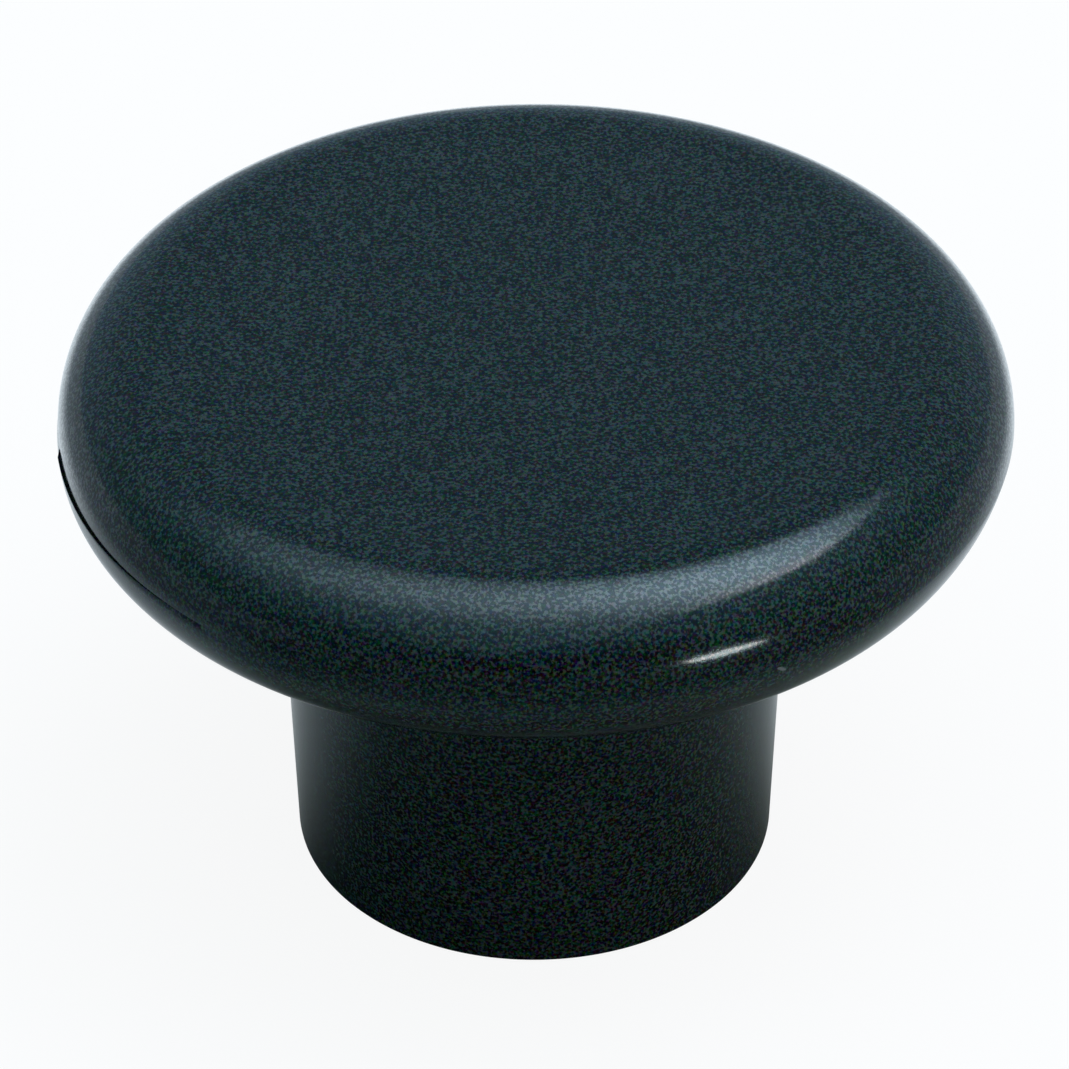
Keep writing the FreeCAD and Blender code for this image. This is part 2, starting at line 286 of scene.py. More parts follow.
def insert_section():
    """The insert's half section, from its mouth round its bands to its top and down its bore."""
    low = INSERT_LOW.z
    high = INSERT_HIGH.z
    lead_end = low + THREAD_LEAD
    middle = (low + high) / 2
    gap_low = middle - BAND_GAP_WIDTH / 2
    gap_high = middle + BAND_GAP_WIDTH / 2
    gap_radius = INSERT_RADIUS - BAND_GAP_DEPTH
    pilot_radius = INSERT_RADIUS - PILOT_CHAMFER
    mouth_radius = THREAD_MINOR_RADIUS + THREAD_LEAD

    mouth = straight((mouth_radius, low), (INSERT_RADIUS, low), 5)
    lower_band = straight((INSERT_RADIUS, low), (INSERT_RADIUS, gap_low), 18)
    gap = (straight((INSERT_RADIUS, gap_low), (gap_radius, gap_low), 2)
           + straight((gap_radius, gap_low), (gap_radius, gap_high), 3)
           + straight((gap_radius, gap_high), (INSERT_RADIUS, gap_high), 2))
    upper_band = straight((INSERT_RADIUS, gap_high), (INSERT_RADIUS, high - PILOT_CHAMFER), 16)
    pilot = straight((INSERT_RADIUS, high - PILOT_CHAMFER), (pilot_radius, high), 3)
    top = straight((pilot_radius, high), (THREAD_MINOR_RADIUS, high), 4)
    rows = round((high - low) / THREAD_PITCH * ROWS_PER_PITCH)
    bore = [(THREAD_MINOR_RADIUS, high + (lead_end - high) * row / rows) for row in range(rows)]
    lead = straight((THREAD_MINOR_RADIUS, lead_end), (mouth_radius, low), 4)
    around = mouth + lower_band + gap + upper_band + pilot + top + bore + lead + [(mouth_radius, low)]
    return section_piece("insert_section", [(around[::-1], 0.0)])


# Node trees

def fill(tree, node, inputs):
    """Links each named input to a socket, or sets it to a value."""
    for name, value in inputs.items():
        if isinstance(value, bpy.types.NodeSocket):
            tree.links.new(value, node.inputs[name])
        else:
            node.inputs[name].default_value = value


def add(tree, kind, inputs=None, **settings):
    """A new node with its settings made and its inputs linked or set."""
    made = tree.nodes.new(kind)
    for name, value in settings.items():
        setattr(made, name, value)
    fill(tree, made, inputs or {})
    return made


def calc(tree, operation, *values):
    """The result of one arithmetic step on sockets or numbers."""
    return add(tree, "ShaderNodeMath", dict(enumerate(values)), operation=operation).outputs[0]


def product(tree, *values):
    """All the values multiplied in turn."""
    result = values[0]
    for value in values[1:]:
        result = calc(tree, "MULTIPLY", result, value)
    return result


def vector_calc(tree, operation, *values):
    """The result of one step on vectors or colours."""
    made = add(tree, "ShaderNodeVectorMath", dict(enumerate(values)), operation=operation)
    return made.outputs["Value" if operation in ("DOT_PRODUCT", "LENGTH", "DISTANCE") else "Vector"]


def smooth(tree, value, low, high, start=0.0):
    """From the start value at low to 1 at high, smooth between and level beyond."""
    made = add(tree, "ShaderNodeMapRange",
               {"Value": value, "From Min": low, "From Max": high, "To Min": start},
               interpolation_type="SMOOTHSTEP")
    return made.outputs["Result"]


def blend(tree, factor, first, second, kind="VECTOR"):
    """The first value where the factor is 0 and the second where it is 1."""
    made = add(tree, "ShaderNodeMix", {"Factor": factor, "A": first, "B": second}, data_type=kind)
    return made.outputs["Result"]


def noise(tree, place, scale, **more):
    """A noise texture over a place, with its other inputs by name."""
    inputs = {"Vector": place, "Scale": scale}
    inputs.update({name.capitalize(): value for name, value in more.items()})
    return add(tree, "ShaderNodeTexNoise", inputs).outputs


def split(tree, vector):
    """The sockets X, Y and Z of a vector."""
    return add(tree, "ShaderNodeSeparateXYZ", {"Vector": vector}).outputs


def join(tree, x, y, z):
    """Three numbers as one vector."""
    return add(tree, "ShaderNodeCombineXYZ", {"X": x, "Y": y, "Z": z}).outputs[0]


def spread(tree, value):
    """One number as a vector of three."""
    return join(tree, value, value, value)


# Shapes

def new_tree(name, inputs):
    """A Geometry Nodes tree with these named inputs, and its group input and output."""
    tree = bpy.data.node_groups.new(name, "GeometryNodeTree")
    tree.is_modifier = True
    tree.interface.new_socket("Geometry", in_out="OUTPUT", socket_type="NodeSocketGeometry")
    for label, kind in inputs.items():
        tree.interface.new_socket(label, in_out="INPUT", socket_type=f"NodeSocket{kind}")
    return tree, tree.nodes.new("NodeGroupInput").outputs, tree.nodes.new("NodeGroupOutput").inputs


def spun_section(tree, given):
    """A grid wrapped round the axis so that each row follows the section's points in turn.

    With it come each point's angle, radius and height, and a reader of the section's attributes."""
    section = add(tree, "GeometryNodeObjectInfo", {"Object": given["Section"]}).outputs["Geometry"]
    size = add(tree, "GeometryNodeAttributeDomainSize", {"Geometry": section}).outputs["Point Count"]
    columns = calc(tree, "ADD", given["Steps Around"], 1)
    grid = add(tree, "GeometryNodeMeshGrid", {"Vertices X": size, "Vertices Y": columns}).outputs["Mesh"]
    index = add(tree, "GeometryNodeInputIndex").outputs[0]
    row = calc(tree, "FLOOR", calc(tree, "DIVIDE", calc(tree, "ADD", index, 0.5), columns))
    column = calc(tree, "SUBTRACT", index, calc(tree, "MULTIPLY", row, columns))
    angle = calc(tree, "MULTIPLY", calc(tree, "DIVIDE", column, given["Steps Around"]), math.tau)

    def read(name, kind):
        value = add(tree, "GeometryNodeInputNamedAttribute", {"Name": name}, data_type=kind)
        sample = add(tree, "GeometryNodeSampleIndex",
                     {"Geometry": section, "Value": value.outputs["Attribute"], "Index": row},
                     data_type=kind)
        return sample.outputs["Value"]

    place = split(tree, read("position", "FLOAT_VECTOR"))
    return grid, angle, place["X"], place["Z"], read


def wrapped(tree, grid, angle, radius, height, shift=0.0):
    """The grid with each point set by its angle, radius and height, its seam and poles closed."""
    right = calc(tree, "ADD", product(tree, radius, calc(tree, "COSINE", angle)), shift)
    behind = product(tree, radius, calc(tree, "SINE", angle))
    place = join(tree, right, behind, height)
    moved = add(tree, "GeometryNodeSetPosition", {"Geometry": grid, "Position": place}).outputs[0]
    return add(tree, "GeometryNodeMergeByDistance", {"Geometry": moved, "Distance": 0.0005}).outputs[0]


def finished(tree, mesh, given, out, sharp_degrees):
    """Smooth shading up to sharp edges, then one real mesh in its material."""
    edge_angle = add(tree, "GeometryNodeInputMeshEdgeAngle").outputs["Unsigned Angle"]
    soft_edge = add(tree, "FunctionNodeCompare", {"A": edge_angle, "B": math.radians(sharp_degrees)},
                    operation="LESS_THAN").outputs["Result"]
    faces = add(tree, "GeometryNodeSetShadeSmooth", {"Geometry": mesh, "Shade Smooth": True},
                domain="FACE").outputs[0]
    edges = add(tree, "GeometryNodeSetShadeSmooth", {"Geometry": faces, "Shade Smooth": soft_edge},
                domain="EDGE").outputs[0]
    metres = add(tree, "GeometryNodeTransform", {"Geometry": edges, "Scale": (MM, MM, MM)}).outputs[0]
    real = add(tree, "GeometryNodeRealizeInstances", {"Geometry": metres}).outputs[0]
    dressed = add(tree, "GeometryNodeSetMaterial", {"Geometry": real, "Material": given["Material"]})
    tree.links.new(dressed.outputs[0], out[0])


def gutter_strength(tree, given, angle):
    """1 along the gutter and 0 off it."""
    lead_start = calc(tree, "SUBTRACT", given["Gutter Start"], given["Gutter Lead"])
    fade_start = calc(tree, "SUBTRACT", given["Gutter End"], given["Gutter Fade"])
    after_start = smooth(tree, angle, lead_start, given["Gutter Start"])
    after_end = smooth(tree, angle, fade_start, given["Gutter End"])
    return product(tree, after_start, calc(tree, "SUBTRACT", 1.0, after_end))


def mould_shift(tree, given, radius, height, face_half, gutter):
    """How far to the right each point sits.

    The stem half joins the face half at the parting line, a little less along the gutter, and has
    its own shift further down, which the stem doesn't share."""
    below_line = calc(tree, "SUBTRACT", given["Parting Height"], height)
    share_down = calc(tree, "DIVIDE", below_line, given["Shift Reach"])
    near = calc(tree, "POWER", calc(tree, "MAXIMUM", calc(tree, "SUBTRACT", 1.0, share_down), 0.0), 2.0)
    joined = calc(tree, "SUBTRACT", 1.0, product(tree, gutter, given["Gutter Closes"]))
    at_line = product(tree, near, product(tree, joined, given["Face Shift"]))
    blend_end = calc(tree, "ADD", given["Stem Radius"], given["Shift Blend"])
    off_stem = smooth(tree, radius, given["Stem Radius"], blend_end)
    further = product(tree, calc(tree, "SUBTRACT", 1.0, near), off_stem, given["Stem Shift"])
    upper = product(tree, face_half, given["Face Shift"])
    lower = product(tree, calc(tree, "SUBTRACT", 1.0, face_half), calc(tree, "ADD", at_line, further))
    return calc(tree, "ADD", upper, lower)


def face_swell(tree, given, angle, radius, height):
    """How far the flat face rises or sinks, level towards its rim."""
    right = product(tree, radius, calc(tree, "COSINE", angle))
    behind = product(tree, radius, calc(tree, "SINE", angle))
    wave = noise(tree, join(tree, right, behind, 0.0), given["Swell Scale"], detail=0.0)[0]
    swell = product(tree, calc(tree, "SUBTRACT", wave, 0.5), given["Swell Height"])
    at_face = calc(tree, "GREATER_THAN", height, calc(tree, "SUBTRACT", given["Face Height"], 0.001))
    level_start = product(tree, given["Face Radius"], given["Swell Level Share"])
    level = smooth(tree, radius, level_start, given["Face Radius"])
    return product(tree, swell, product(tree, at_face, calc(tree, "SUBTRACT", 1.0, level)))


def with_nib(tree, given, solid):
    """The solid with the nib, a small oval ball, joined to it."""
    ball = add(tree, "GeometryNodeMeshIcoSphere", {"Radius": 1.0, "Subdivisions": 3}).outputs["Mesh"]
    nib = add(tree, "GeometryNodeTransform", {
        "Geometry": ball, "Translation": given["Nib Place"], "Rotation": given["Nib Turn"],
        "Scale": given["Nib Size"]}).outputs[0]
    both = add(tree, "GeometryNodeMeshBoolean", {"Mesh 2": solid}, operation="UNION", solver="EXACT")
    tree.links.new(nib, both.inputs["Mesh 2"])
    return both.outputs[0]


def without_cores(tree, given, solid):
    """The solid with the cores, evenly spaced round the axis, taken out of it."""
    spots = add(tree, "GeometryNodePoints", {"Count": given["Cores Per Turn"]}).outputs[0]
    index = add(tree, "GeometryNodeInputIndex").outputs[0]
    turn = calc(tree, "DIVIDE", calc(tree, "MULTIPLY", index, math.tau), given["Cores Per Turn"])
    core = add(tree, "GeometryNodeObjectInfo", {"Object": given["Core"]}).outputs["Geometry"]
    cores = add(tree, "GeometryNodeInstanceOnPoints", {
        "Points": spots, "Instance": core, "Rotation": join(tree, 0.0, 0.0, turn)}).outputs[0]
    cutters = add(tree, "GeometryNodeRealizeInstances", {"Geometry": cores}).outputs[0]
    cored = add(tree, "GeometryNodeMeshBoolean", {"Mesh 1": solid, "Mesh 2": cutters},
                operation="DIFFERENCE", solver="EXACT")
    return cored.outputs[0]


def moulding_tree():
    """Spins the moulding's section, steps its two halves, swells its face and takes out the cores."""
    tree, given, out = new_tree("moulding", {
        "Section": "Object", "Core": "Object", "Cores Per Turn": "Int", "Steps Around": "Int",
        "Parting Height": "Float", "Stem Radius": "Float", "Face Shift": "Float", "Stem Shift": "Float",
        "Shift Reach": "Float", "Shift Blend": "Float", "Gutter Start": "Float", "Gutter Lead": "Float",
        "Gutter End": "Float", "Gutter Fade": "Float", "Gutter Closes": "Float", "Nib Place": "Vector",
        "Nib Turn": "Vector", "Nib Size": "Vector", "Swell Height": "Float", "Swell Scale": "Float",
        "Swell Level Share": "Float", "Face Height": "Float", "Face Radius": "Float",
        "Material": "Material"})
    grid, angle, radius, height, read = spun_section(tree, given)
    gutter = gutter_strength(tree, given, angle)
    drawn = split(tree, read("gutter", "FLOAT_VECTOR"))
    radius = calc(tree, "SUBTRACT", radius, product(tree, drawn["X"], gutter))
    height = calc(tree, "SUBTRACT", height, product(tree, drawn["Z"], gutter))
    shift = mould_shift(tree, given, radius, height, read("face_half", "FLOAT"), gutter)
    height = calc(tree, "ADD", height, face_swell(tree, given, angle, radius, height))
    solid = with_nib(tree, given, wrapped(tree, grid, angle, radius, height, shift))
    finished(tree, without_cores(tree, given, solid), given, out, sharp_degrees=32)
    return tree


def insert_tree():
    """Spins the insert's section, winds its thread down the bore and knurls its two bands."""
    tree, given, out = new_tree("threaded_insert", {
        "Section": "Object", "Steps Around": "Int", "Thread Radius": "Float", "Thread Pitch": "Float",
        "Thread Depth": "Float", "Thread Crest Share": "Float", "Thread Root Share": "Float",
        "Band Radius": "Float", "Knurl Teeth": "Int", "Knurl Depth": "Float", "Knurl Slant": "Float",
        "Knurl Start": "Float", "Knurl End": "Float", "Material": "Material"})
    grid, angle, radius, height = spun_section(tree, given)[:4]
    turns = calc(tree, "DIVIDE", angle, math.tau)
    close_by = 0.005

    pitches = calc(tree, "DIVIDE", height, given["Thread Pitch"])
    along = calc(tree, "FRACT", calc(tree, "SUBTRACT", pitches, turns))
    flank = calc(tree, "ABSOLUTE", calc(tree, "SUBTRACT", calc(tree, "MULTIPLY", along, 2.0), 1.0))
    groove = add(tree, "ShaderNodeMapRange", {
        "Value": flank, "From Min": given["Thread Crest Share"], "From Max": given["Thread Root Share"]})
    in_bore = calc(tree, "LESS_THAN", radius, calc(tree, "ADD", given["Thread Radius"], close_by))
    cut = product(tree, groove.outputs["Result"], given["Thread Depth"], in_bore)

    across = product(tree, turns, given["Knurl Teeth"])
    slant = calc(tree, "DIVIDE", height, given["Knurl Slant"])
    one_way = calc(tree, "PINGPONG", calc(tree, "ADD", across, slant), 0.5)
    other_way = calc(tree, "PINGPONG", calc(tree, "SUBTRACT", across, slant), 0.5)
    diamond = calc(tree, "SUBTRACT", 1.0, calc(tree, "ADD", one_way, other_way))
    on_band = calc(tree, "GREATER_THAN", radius, calc(tree, "SUBTRACT", given["Band Radius"], close_by))
    above_start = calc(tree, "GREATER_THAN", height, given["Knurl Start"])
    below_end = calc(tree, "LESS_THAN", height, given["Knurl End"])
    bite = product(tree, diamond, given["Knurl Depth"], product(tree, on_band, above_start, below_end))

    radius = calc(tree, "SUBTRACT", calc(tree, "ADD", radius, cut), bite)
    finished(tree, wrapped(tree, grid, angle, radius, height), given, out, sharp_degrees=50)
    return tree


def made_by(name, tree, values):
    """A piece whose mesh is what the tree makes from these inputs, as plain mesh data."""
    maker = bpy.data.objects.new("maker", bpy.data.meshes.new("maker"))
    bpy.context.collection.objects.link(maker)
    modifier = maker.modifiers.new(name, "NODES")
    modifier.node_group = tree
    for item in tree.interface.items_tree:
        if item.in_out == "INPUT" and item.name in values:
            modifier[item.identifier] = values[item.name]
    bpy.context.view_layer.update()
    evaluated = maker.evaluated_get(bpy.context.evaluated_depsgraph_get())
    mesh = bpy.data.meshes.new_from_object(evaluated)
    maker.modifiers.remove(modifier)
    bpy.data.objects.remove(maker)
    mesh.name = name
    mesh.materials.clear()
    mesh.materials.append(values["Material"])
    piece = bpy.data.objects.new(name, mesh)
    bpy.context.collection.objects.link(piece)
    return piece


# Materials

def new_material(name):
    """A material with its tree, empty but for a shader that isn't joined to an output yet."""
    material = bpy.data.materials.new(name)
    material.use_nodes = True
    tree = material.node_tree
    tree.nodes.clear()
    return material, tree, tree.nodes.new("ShaderNodeBsdfPrincipled")


def speckle_group():
    """Fine speckle shared by both finishes: a grey mask, and a colour that strays a little."""
    group = bpy.data.node_groups.new("speckle", "ShaderNodeTree")
    for label, kind in (("Vector", "Vector"), ("Scale", "Float"), ("Stray", "Float")):
        group.interface.new_socket(label, in_out="INPUT", socket_type=f"NodeSocket{kind}")
    group.interface.new_socket("Mask", in_out="OUTPUT", socket_type="NodeSocketFloat")
    group.interface.new_socket("Colour", in_out="OUTPUT", socket_type="NodeSocketColor")
    given = group.nodes.new("NodeGroupInput").outputs
    out = group.nodes.new("NodeGroupOutput").inputs
    mask = smooth(group, noise(group, given["Vector"], given["Scale"], detail=1.0)[0], 0.47, 0.61)
    finer = calc(group, "MULTIPLY", given["Scale"], 0.9)
    straying = noise(group, given["Vector"], finer, detail=1.0)["Color"]
    straying = vector_calc(group, "MULTIPLY_ADD", straying, (3.2, 3.2, 3.2), (-1.1, -1.1, -1.1))
    colour = blend(group, given["Stray"], spread(group, mask), straying)
    group.links.new(mask, out["Mask"])
    group.links.new(vector_calc(group, "MAXIMUM", colour, (0.0, 0.0, 0.0)), out["Colour"])
    return group


def black_plastic(speckle):
    """Black moulding with a cold cast, polished to a higher gloss on the face half of the mould."""
    material, tree, shader = new_material("black_plastic")
    place = add(tree, "ShaderNodeTexCoord").outputs["Object"]
    sides = split(tree, place)
    grain = add(tree, "ShaderNodeGroup", {"Vector": place, "Scale": 9200.0, "Stray": 0.55},
                node_tree=speckle).outputs

    # The polish starts lower down towards the back, and is slightly uneven and worn in specks
    lower_start = calc(tree, "MULTIPLY", smooth(tree, sides["Y"], -10 * MM, -3 * MM), 1.0 * MM)
    polish = smooth(tree, calc(tree, "ADD", sides["Z"], lower_start),
                    (PARTING_HEIGHT + 0.2) * MM, (PARTING_HEIGHT + 2.0) * MM)
    wave = noise(tree, place, 110.0, detail=1.0, distortion=1.4)[0]
    evenness = add(tree, "ShaderNodeMapRange", {
        "Value": wave, "From Min": 0.3, "From Max": 0.7, "To Min": 0.70, "To Max": 0.87}).outputs["Result"]
    worn = calc(tree, "MULTIPLY_ADD", grain["Mask"], 0.74, 0.66)

    # Flecks of the pigment, and the nib, coloured pale grey
    lightest = (0.042, 0.060, 0.057)
    darkening = (-0.0085, -0.0112, -0.0112)
    flecks = vector_calc(tree, "MULTIPLY_ADD", grain["Colour"], lightest, darkening)
    flecks = vector_calc(tree, "MAXIMUM", flecks, (0.0, 0.0, 0.0))
    on_nib = add(tree, "ShaderNodeMapping", {
        "Vector": place, "Location": Vector(NIB_PLACE) * MM, "Rotation": NIB_TURN,
        "Scale": Vector(NIB_SIZE) * MM}, vector_type="TEXTURE").outputs[0]
    off_nib = smooth(tree, vector_calc(tree, "LENGTH", on_nib), 0.9, 1.3)
    nib_mask = calc(tree, "SUBTRACT", 1.0, off_nib)
    bump = add(tree, "ShaderNodeBump", {"Height": grain["Mask"], "Strength": 0.08, "Distance": 0.01 * MM})
    fill(tree, shader, {
        # The nib is coloured pale grey, the rest takes the flecks
        "Base Color": blend(tree, nib_mask, flecks, (0.11, 0.115, 0.115)),
        "Coat Weight": product(tree, polish, evenness, worn),
        "Normal": bump.outputs[0],
        "Roughness": 0.13,
        "IOR": 1.5,
        "Specular IOR Level": 0.2,
        "Specular Tint": (0.3, 0.8, 0.95, 1),
        "Coat IOR": 1.46,
        "Coat Roughness": 0.12})
    add(tree, "ShaderNodeOutputMaterial", {"Surface": shader.outputs[0]})
    return material


def brass(speckle):
    """Turned brass, slightly dulled, with faint tool rings and specks."""
    material, tree, shader = new_material("brass")
    place = add(tree, "ShaderNodeTexCoord").outputs["Object"]
    sides = split(tree, place)
    grain = add(tree, "ShaderNodeGroup", {"Vector": place, "Scale": 6000.0, "Stray": 0.1},
                node_tree=speckle).outputs
    cloud = calc(tree, "MULTIPLY", noise(tree, place, 700.0, detail=4.0)[0], 0.75)
    dull = calc(tree, "MULTIPLY_ADD", grain["Mask"], 0.25, cloud)
    rough = add(tree, "ShaderNodeMapRange", {"Value": dull, "To Min": 0.20, "To Max": 0.45})
    from_axis = vector_calc(tree, "LENGTH", join(tree, sides["X"], sides["Y"], 0.0))
    ring_turns = calc(tree, "MULTIPLY", calc(tree, "ADD", from_axis, sides["Z"]), 60000.0)
    rings = calc(tree, "SINE", ring_turns)
    bump = add(tree, "ShaderNodeBump", {"Height": rings, "Strength": 0.15, "Distance": 0.005 * MM})
    bright_brass = (0.83, 0.62, 0.30, 1)
    dull_brass = (0.50, 0.34, 0.13, 1)
    fill(tree, shader, {
        "Base Color": blend(tree, dull, bright_brass, dull_brass, "RGBA"),
        "Roughness": rough.outputs[0],
        "Normal": bump.outputs[0],
        "Metallic": 1.0})
    add(tree, "ShaderNodeOutputMaterial", {"Surface": shader.outputs[0]})
    return material


def floor_material():
    """Pale and matt, with a painted pool of light, white round the knob and greyer far away, and clear from
    below.

    Camera, mirror and glass rays see it mostly as plain white with the knob's soft shadow on it, and mirror
    and glass rays also see painted shade on it, darker before the knob and darkest close before its stem."""
    material, tree, shader = new_material("floor")
    sides = split(tree, add(tree, "ShaderNodeTexCoord").outputs["Object"])
    sideways = sides["X"]
    behind = sides["Y"]
    roundness = 3.0
    # Painted pool of light: white on a rounded patch round and behind the knob, fading to grey far away
    from_middle = calc(tree, "SUBTRACT", behind, FLOOR_MIDDLE * MM)
    across = calc(tree, "ABSOLUTE", calc(tree, "DIVIDE", sideways, WHITE_ACROSS * MM))
    along = calc(tree, "ABSOLUTE", calc(tree, "DIVIDE", from_middle, WHITE_ALONG * MM))
    both = calc(tree, "ADD", calc(tree, "POWER", across, roundness), calc(tree, "POWER", along, roundness))
    fade = smooth(tree, calc(tree, "POWER", both, 1 / roundness), 1.0, FADE_REACH)
    tone = blend(tree, fade, FLOOR_NEAR, FLOOR_FAR, "RGBA")

    path = add(tree, "ShaderNodeLightPath").outputs
    mirrored = calc(tree, "MAXIMUM", path["Is Glossy Ray"], path["Is Transmission Ray"])
    # Painted shade for mirror and glass rays: the floor darker before the knob, lighter beside it, more so
    # on the left
    beside = calc(tree, "MAXIMUM", calc(tree, "MULTIPLY", sideways, REACH_ON_RIGHT),
                  calc(tree, "MULTIPLY", sideways, -REACH_ON_LEFT))
    rear = smooth(tree, calc(tree, "ADD", behind, beside), 0.0, MIRRORED_REACH * MM)
    # Painted shadow for mirror and glass rays, darkest close before the stem
    from_shade = vector_calc(tree, "DISTANCE", join(tree, sideways, behind, 0.0),
                             (0.0, SHADE_MIDDLE * MM, 0.0))
    unshaded = smooth(tree, from_shade, SHADE_RADIUS * MM, SHADE_EDGE * MM, start=SHADE_LEVEL)
    mirrored_shaded_tone = vector_calc(tree, "MULTIPLY", tone, blend(tree, rear, MIRRORED_FRONT_SHADE, (1.0, 1.0, 1.0)))
    mirrored_shaded_tone = vector_calc(tree, "MULTIPLY", mirrored_shaded_tone, spread(tree, unshaded))
    fill(tree, shader, {
        "Base Color": blend(tree, mirrored, tone, mirrored_shaded_tone), "Roughness": 0.9, "Specular IOR Level": 0.0})

    # The emitted white fades to grey with the same painted pool of light
    white = blend(tree, fade, (1, 1, 1, 1), FLOOR_FAR, "RGBA")
    bright = add(tree, "ShaderNodeEmission", {"Color": white, "Strength": 1.0}).outputs[0]
    share = calc(tree, "MAXIMUM", calc(tree, "MULTIPLY", path["Is Camera Ray"], WHITE_SHARE),
                 product(tree, mirrored, rear, MIRRORED_SHARE))
    lit = add(tree, "ShaderNodeMixShader", {0: share, 1: shader.outputs[0], 2: bright}).outputs[0]
    under = add(tree, "ShaderNodeNewGeometry").outputs["Backfacing"]
    clear = add(tree, "ShaderNodeBsdfTransparent").outputs[0]
    seen = add(tree, "ShaderNodeMixShader", {0: under, 1: lit, 2: clear}).outputs[0]
    add(tree, "ShaderNodeOutputMaterial", {"Surface": seen})
    return material


# Studio

def gaussian(tree, value, centre, width):
    """-((value - centre) / width) squared, the exponent of a soft spot."""
    offset = calc(tree, "DIVIDE", calc(tree, "SUBTRACT", value, centre), width)
    return product(tree, offset, offset, -1.0)


def spot(tree, across, along, centre, widths):
    """A soft oval spot, 1 at its centre."""
    return calc(tree, "EXPONENT", calc(tree, "ADD", gaussian(tree, across, centre[0], widths[0]),
                                       gaussian(tree, along, centre[1], widths[1])))


def tinted(tree, colour, amount):
    """A colour times one number."""
    return vector_calc(tree, "MULTIPLY", colour, spread(tree, amount))


def beyond_edge(tree, direction, edge, softness):
    """1 on the light's side of a straight edge, whose plane has this normal, and 0 past it."""
    return smooth(tree, vector_calc(tree, "DOT_PRODUCT", direction, edge), -softness, softness)


def diffuser_light(tree, direction):
    """A large diffuser overhead, brightest on the right, cut off by its three edges.

    Places on it are those on a ceiling one unit above the knob, right and behind."""
    sides = split(tree, direction)
    height = calc(tree, "MAXIMUM", sides["Z"], 0.05)
    right = calc(tree, "DIVIDE", sides["X"], height)
    behind = calc(tree, "DIVIDE", sides["Y"], height)
    slanted_edge = Vector((-0.714, 0.371, 0.594))
    off_slant = vector_calc(tree, "DOT_PRODUCT", direction, slanted_edge)

    wide = spot(tree, right, behind, (0.41, -0.048), (0.842, 0.387))
    hot = spot(tree, right, behind, (0.418, 0.231), (0.372, 0.319))
    spill = spot(tree, right, behind, (0.122, -1.316), (0.879, 1.447))
    by_slant = spot(tree, behind, off_slant, (-0.03, 0.05), (0.30, 0.07))
    light = tinted(tree, (2.50, 2.54, 2.76), wide)
    light = vector_calc(tree, "ADD", light, tinted(tree, (2.103, 2.473, 2.862), hot))
    light = vector_calc(tree, "ADD", light, tinted(tree, (0.199, 0.251, 0.277), spill))
    light = vector_calc(tree, "ADD", light, tinted(tree, (3.0, 1.9, 1.8), by_slant))

    tilt = math.radians(61.96)
    skew = math.radians(3.32)
    back_edge = Vector((math.sin(skew), -math.sin(tilt) * math.cos(skew), math.cos(tilt) * math.cos(skew)))
    right_edge = Vector((-1, -0.083, 0.835))
    before_back = beyond_edge(tree, direction, back_edge, 0.05)
    left_of_right = beyond_edge(tree, direction, right_edge, 0.02)
    left_of_right = product(tree, left_of_right, smooth(tree, off_slant, -0.015, 0.02))
    return tinted(tree, light, product(tree, before_back, left_of_right))


def room_light(tree, direction):
    """A pale cool room, dim on the camera's side."""
    sides = split(tree, direction)
    high = smooth(tree, sides["Z"], 0.26, 0.90)
    drop = math.radians(-10)
    towards_camera = Vector((0, -math.cos(drop), math.sin(drop)))
    off_camera = calc(tree, "ARCCOSINE", vector_calc(tree, "DOT_PRODUCT", direction, towards_camera))
    dim = calc(tree, "EXPONENT", gaussian(tree, off_camera, 0.0, math.radians(48.4)))
    front = vector_calc(tree, "ADD", (0.093, 0.243, 0.252), tinted(tree, (0.254, 0.355, 0.476), high))
    front = vector_calc(tree, "SUBTRACT", front, tinted(tree, (0.207, 0.255, 0.237), dim))
    rear = vector_calc(tree, "SUBTRACT", (0.167, 0.258, 0.332), tinted(tree, (0.055, 0.040, 0.040), high))
    room = blend(tree, smooth(tree, sides["Y"], 0.0, 0.8), front, rear)
    return vector_calc(tree, "MAXIMUM", room, (0.02, 0.02, 0.02))


def studio_light():
    """Soft light from the diffuser and the room, as the scene's world."""
    world = bpy.data.worlds.new("studio")
    bpy.context.scene.world = world
    world.use_nodes = True
    tree = world.node_tree
    tree.nodes.clear()
    direction = add(tree, "ShaderNodeTexCoord").outputs["Generated"]
    colour = vector_calc(tree, "ADD", room_light(tree, direction), diffuser_light(tree, direction))
    light = add(tree, "ShaderNodeBackground", {"Color": colour, "Strength": 1.0})
    add(tree, "ShaderNodeOutputWorld", {"Surface": light.outputs[0]})


def low_strip():
    """A narrow lamp low on the right, which draws the thin bright line on the rim."""
    lamp = bpy.data.lights.new("low_strip", "AREA")
    lamp.shape = "ELLIPSE"
    lamp.size = 29 * MM
    lamp.size_y = 7.8 * MM
    lamp.energy = 0.019
    lamp.color = (1.0, 0.76, 0.70)
    holder = bpy.data.objects.new("low_strip", lamp)
    bpy.context.collection.objects.link(holder)
    around = math.radians(142)
    from_axis = 100.0
    place = Vector((from_axis * math.sin(around), from_axis * math.cos(around), 15.0)) * MM
    aim = Vector((0, 0, 18)) * MM
    holder.location = place
    holder.rotation_euler = (aim - place).to_track_quat("-Z", "Y").to_euler()
    holder.visible_camera = False


def floor():
    """A wide flat ring for the floor, open where the foot covers it."""
    inner = (FOOT_RADIUS - STEM_WALL / 2) * MM
    outer = 6.0
    steps = 96
    points = []
    for radius in (inner, outer):
        for step in range(steps):
            angle = math.tau * step / steps
            points.append((radius * math.cos(angle), radius * math.sin(angle), 0))
    faces = [(k, k + steps, (k + 1) % steps + steps, (k + 1) % steps) for k in range(steps)]
    mesh = bpy.data.meshes.new("floor")
    mesh.from_pydata(points, [], faces)
    mesh.materials.append(floor_material())
    piece = bpy.data.objects.new("floor", mesh)
    bpy.context.collection.objects.link(piece)


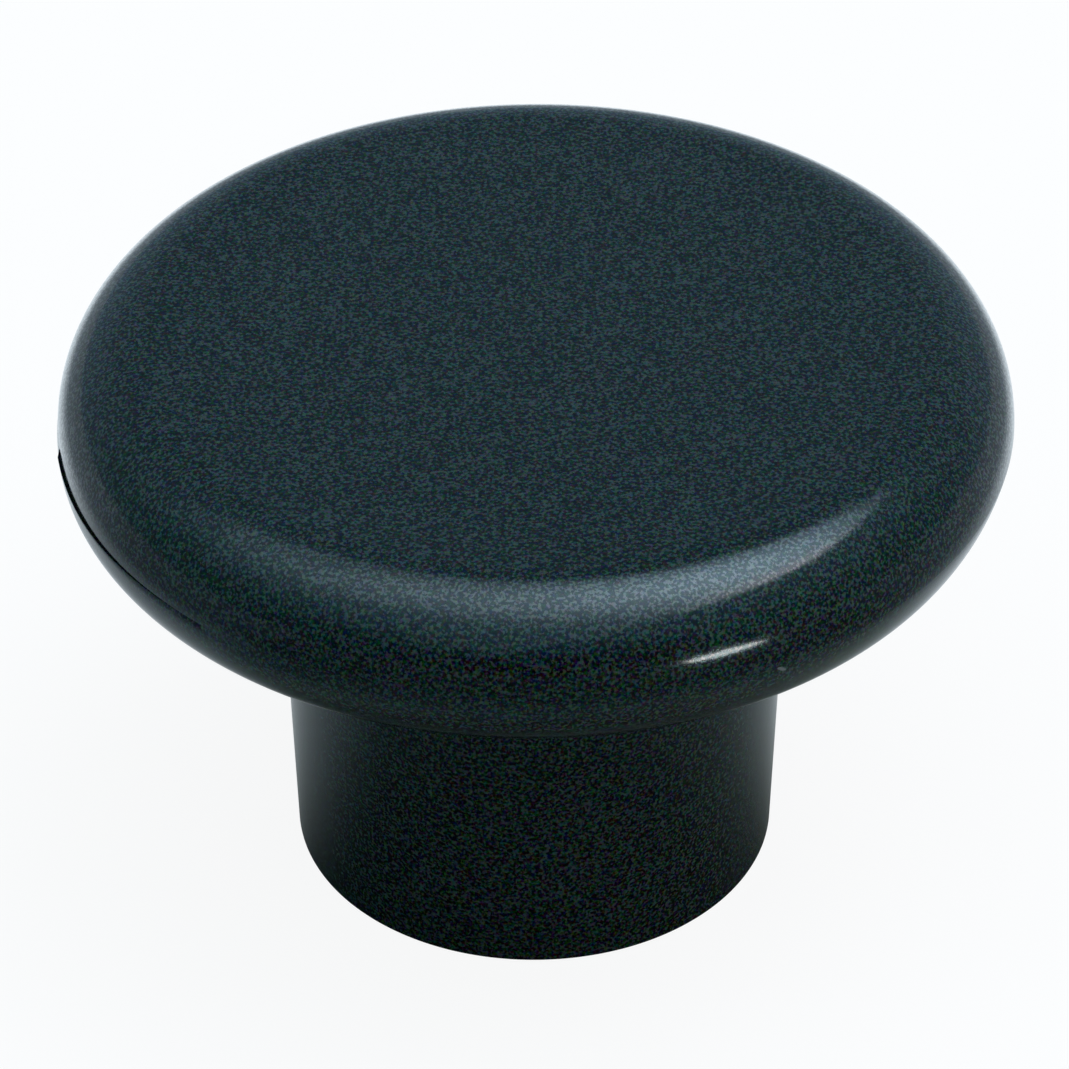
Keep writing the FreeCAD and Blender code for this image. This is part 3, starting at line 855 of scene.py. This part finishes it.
def camera():
    """Long lens from the front, about 36 degrees above the floor, with a slight roll."""
    distance = 212.0
    elevation = math.radians(35.83)
    roll = math.radians(0.164)
    aim = Vector((0.03, 0, 12.06))
    lens = bpy.data.cameras.new("camera")
    lens.sensor_width = 36.0
    lens.lens = 212.97
    lens.clip_start = 10 * MM
    holder = bpy.data.objects.new("camera", lens)
    bpy.context.collection.objects.link(holder)
    place = Vector((0, -distance * math.cos(elevation), PARTING_HEIGHT + distance * math.sin(elevation)))
    forward = (aim - place).normalized()
    right = forward.cross(Vector((0, 0, 1))).normalized()
    right = Matrix.Rotation(roll, 3, forward) @ right
    up = right.cross(forward)
    facing = Matrix((right, up, -forward)).transposed().to_4x4()
    holder.matrix_world = Matrix.Translation(place * MM) @ facing
    bpy.context.scene.camera = holder


camera()
studio_light()
low_strip()
floor()

speckle = speckle_group()
knob_body = made_by("knob_moulding", moulding_tree(), {
    "Section": moulding_section(), "Core": core_piece(), "Cores Per Turn": CORES_PER_TURN,
    "Steps Around": 360, "Parting Height": PARTING_HEIGHT, "Stem Radius": ROOT_RADIUS,
    "Face Shift": FACE_SHIFT, "Stem Shift": STEM_SHIFT, "Shift Reach": SHIFT_REACH,
    "Shift Blend": SHIFT_BLEND, "Gutter Start": GUTTER_START, "Gutter Lead": GUTTER_LEAD,
    "Gutter End": GUTTER_END, "Gutter Fade": GUTTER_FADE, "Gutter Closes": GUTTER_CLOSES,
    "Nib Place": NIB_PLACE, "Nib Turn": NIB_TURN, "Nib Size": NIB_SIZE,
    "Swell Height": SWELL_HEIGHT, "Swell Scale": SWELL_SCALE, "Swell Level Share": SWELL_LEVEL_SHARE,
    "Face Height": FACE_HEIGHT, "Face Radius": UPPER_CENTRE[0], "Material": black_plastic(speckle)})
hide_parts("knob_body")
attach(knob_body, "root")

threaded_insert = made_by("screw_insert", insert_tree(), {
    "Section": insert_section(), "Steps Around": 240, "Thread Radius": THREAD_MINOR_RADIUS,
    "Thread Pitch": THREAD_PITCH, "Thread Depth": THREAD_DEPTH,
    "Thread Crest Share": THREAD_CREST_SHARE, "Thread Root Share": THREAD_ROOT_SHARE,
    "Band Radius": INSERT_RADIUS, "Knurl Teeth": KNURL_TEETH, "Knurl Depth": KNURL_DEPTH,
    "Knurl Slant": KNURL_SLANT,
    "Knurl Start": INSERT_LOW.z + KNURL_LOW_MARGIN, "Knurl End": INSERT_HIGH.z - KNURL_HIGH_MARGIN,
    "Material": brass(speckle)})
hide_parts("threaded_insert")
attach(threaded_insert, "root")

bpy.context.scene.view_settings.view_transform = "Standard"
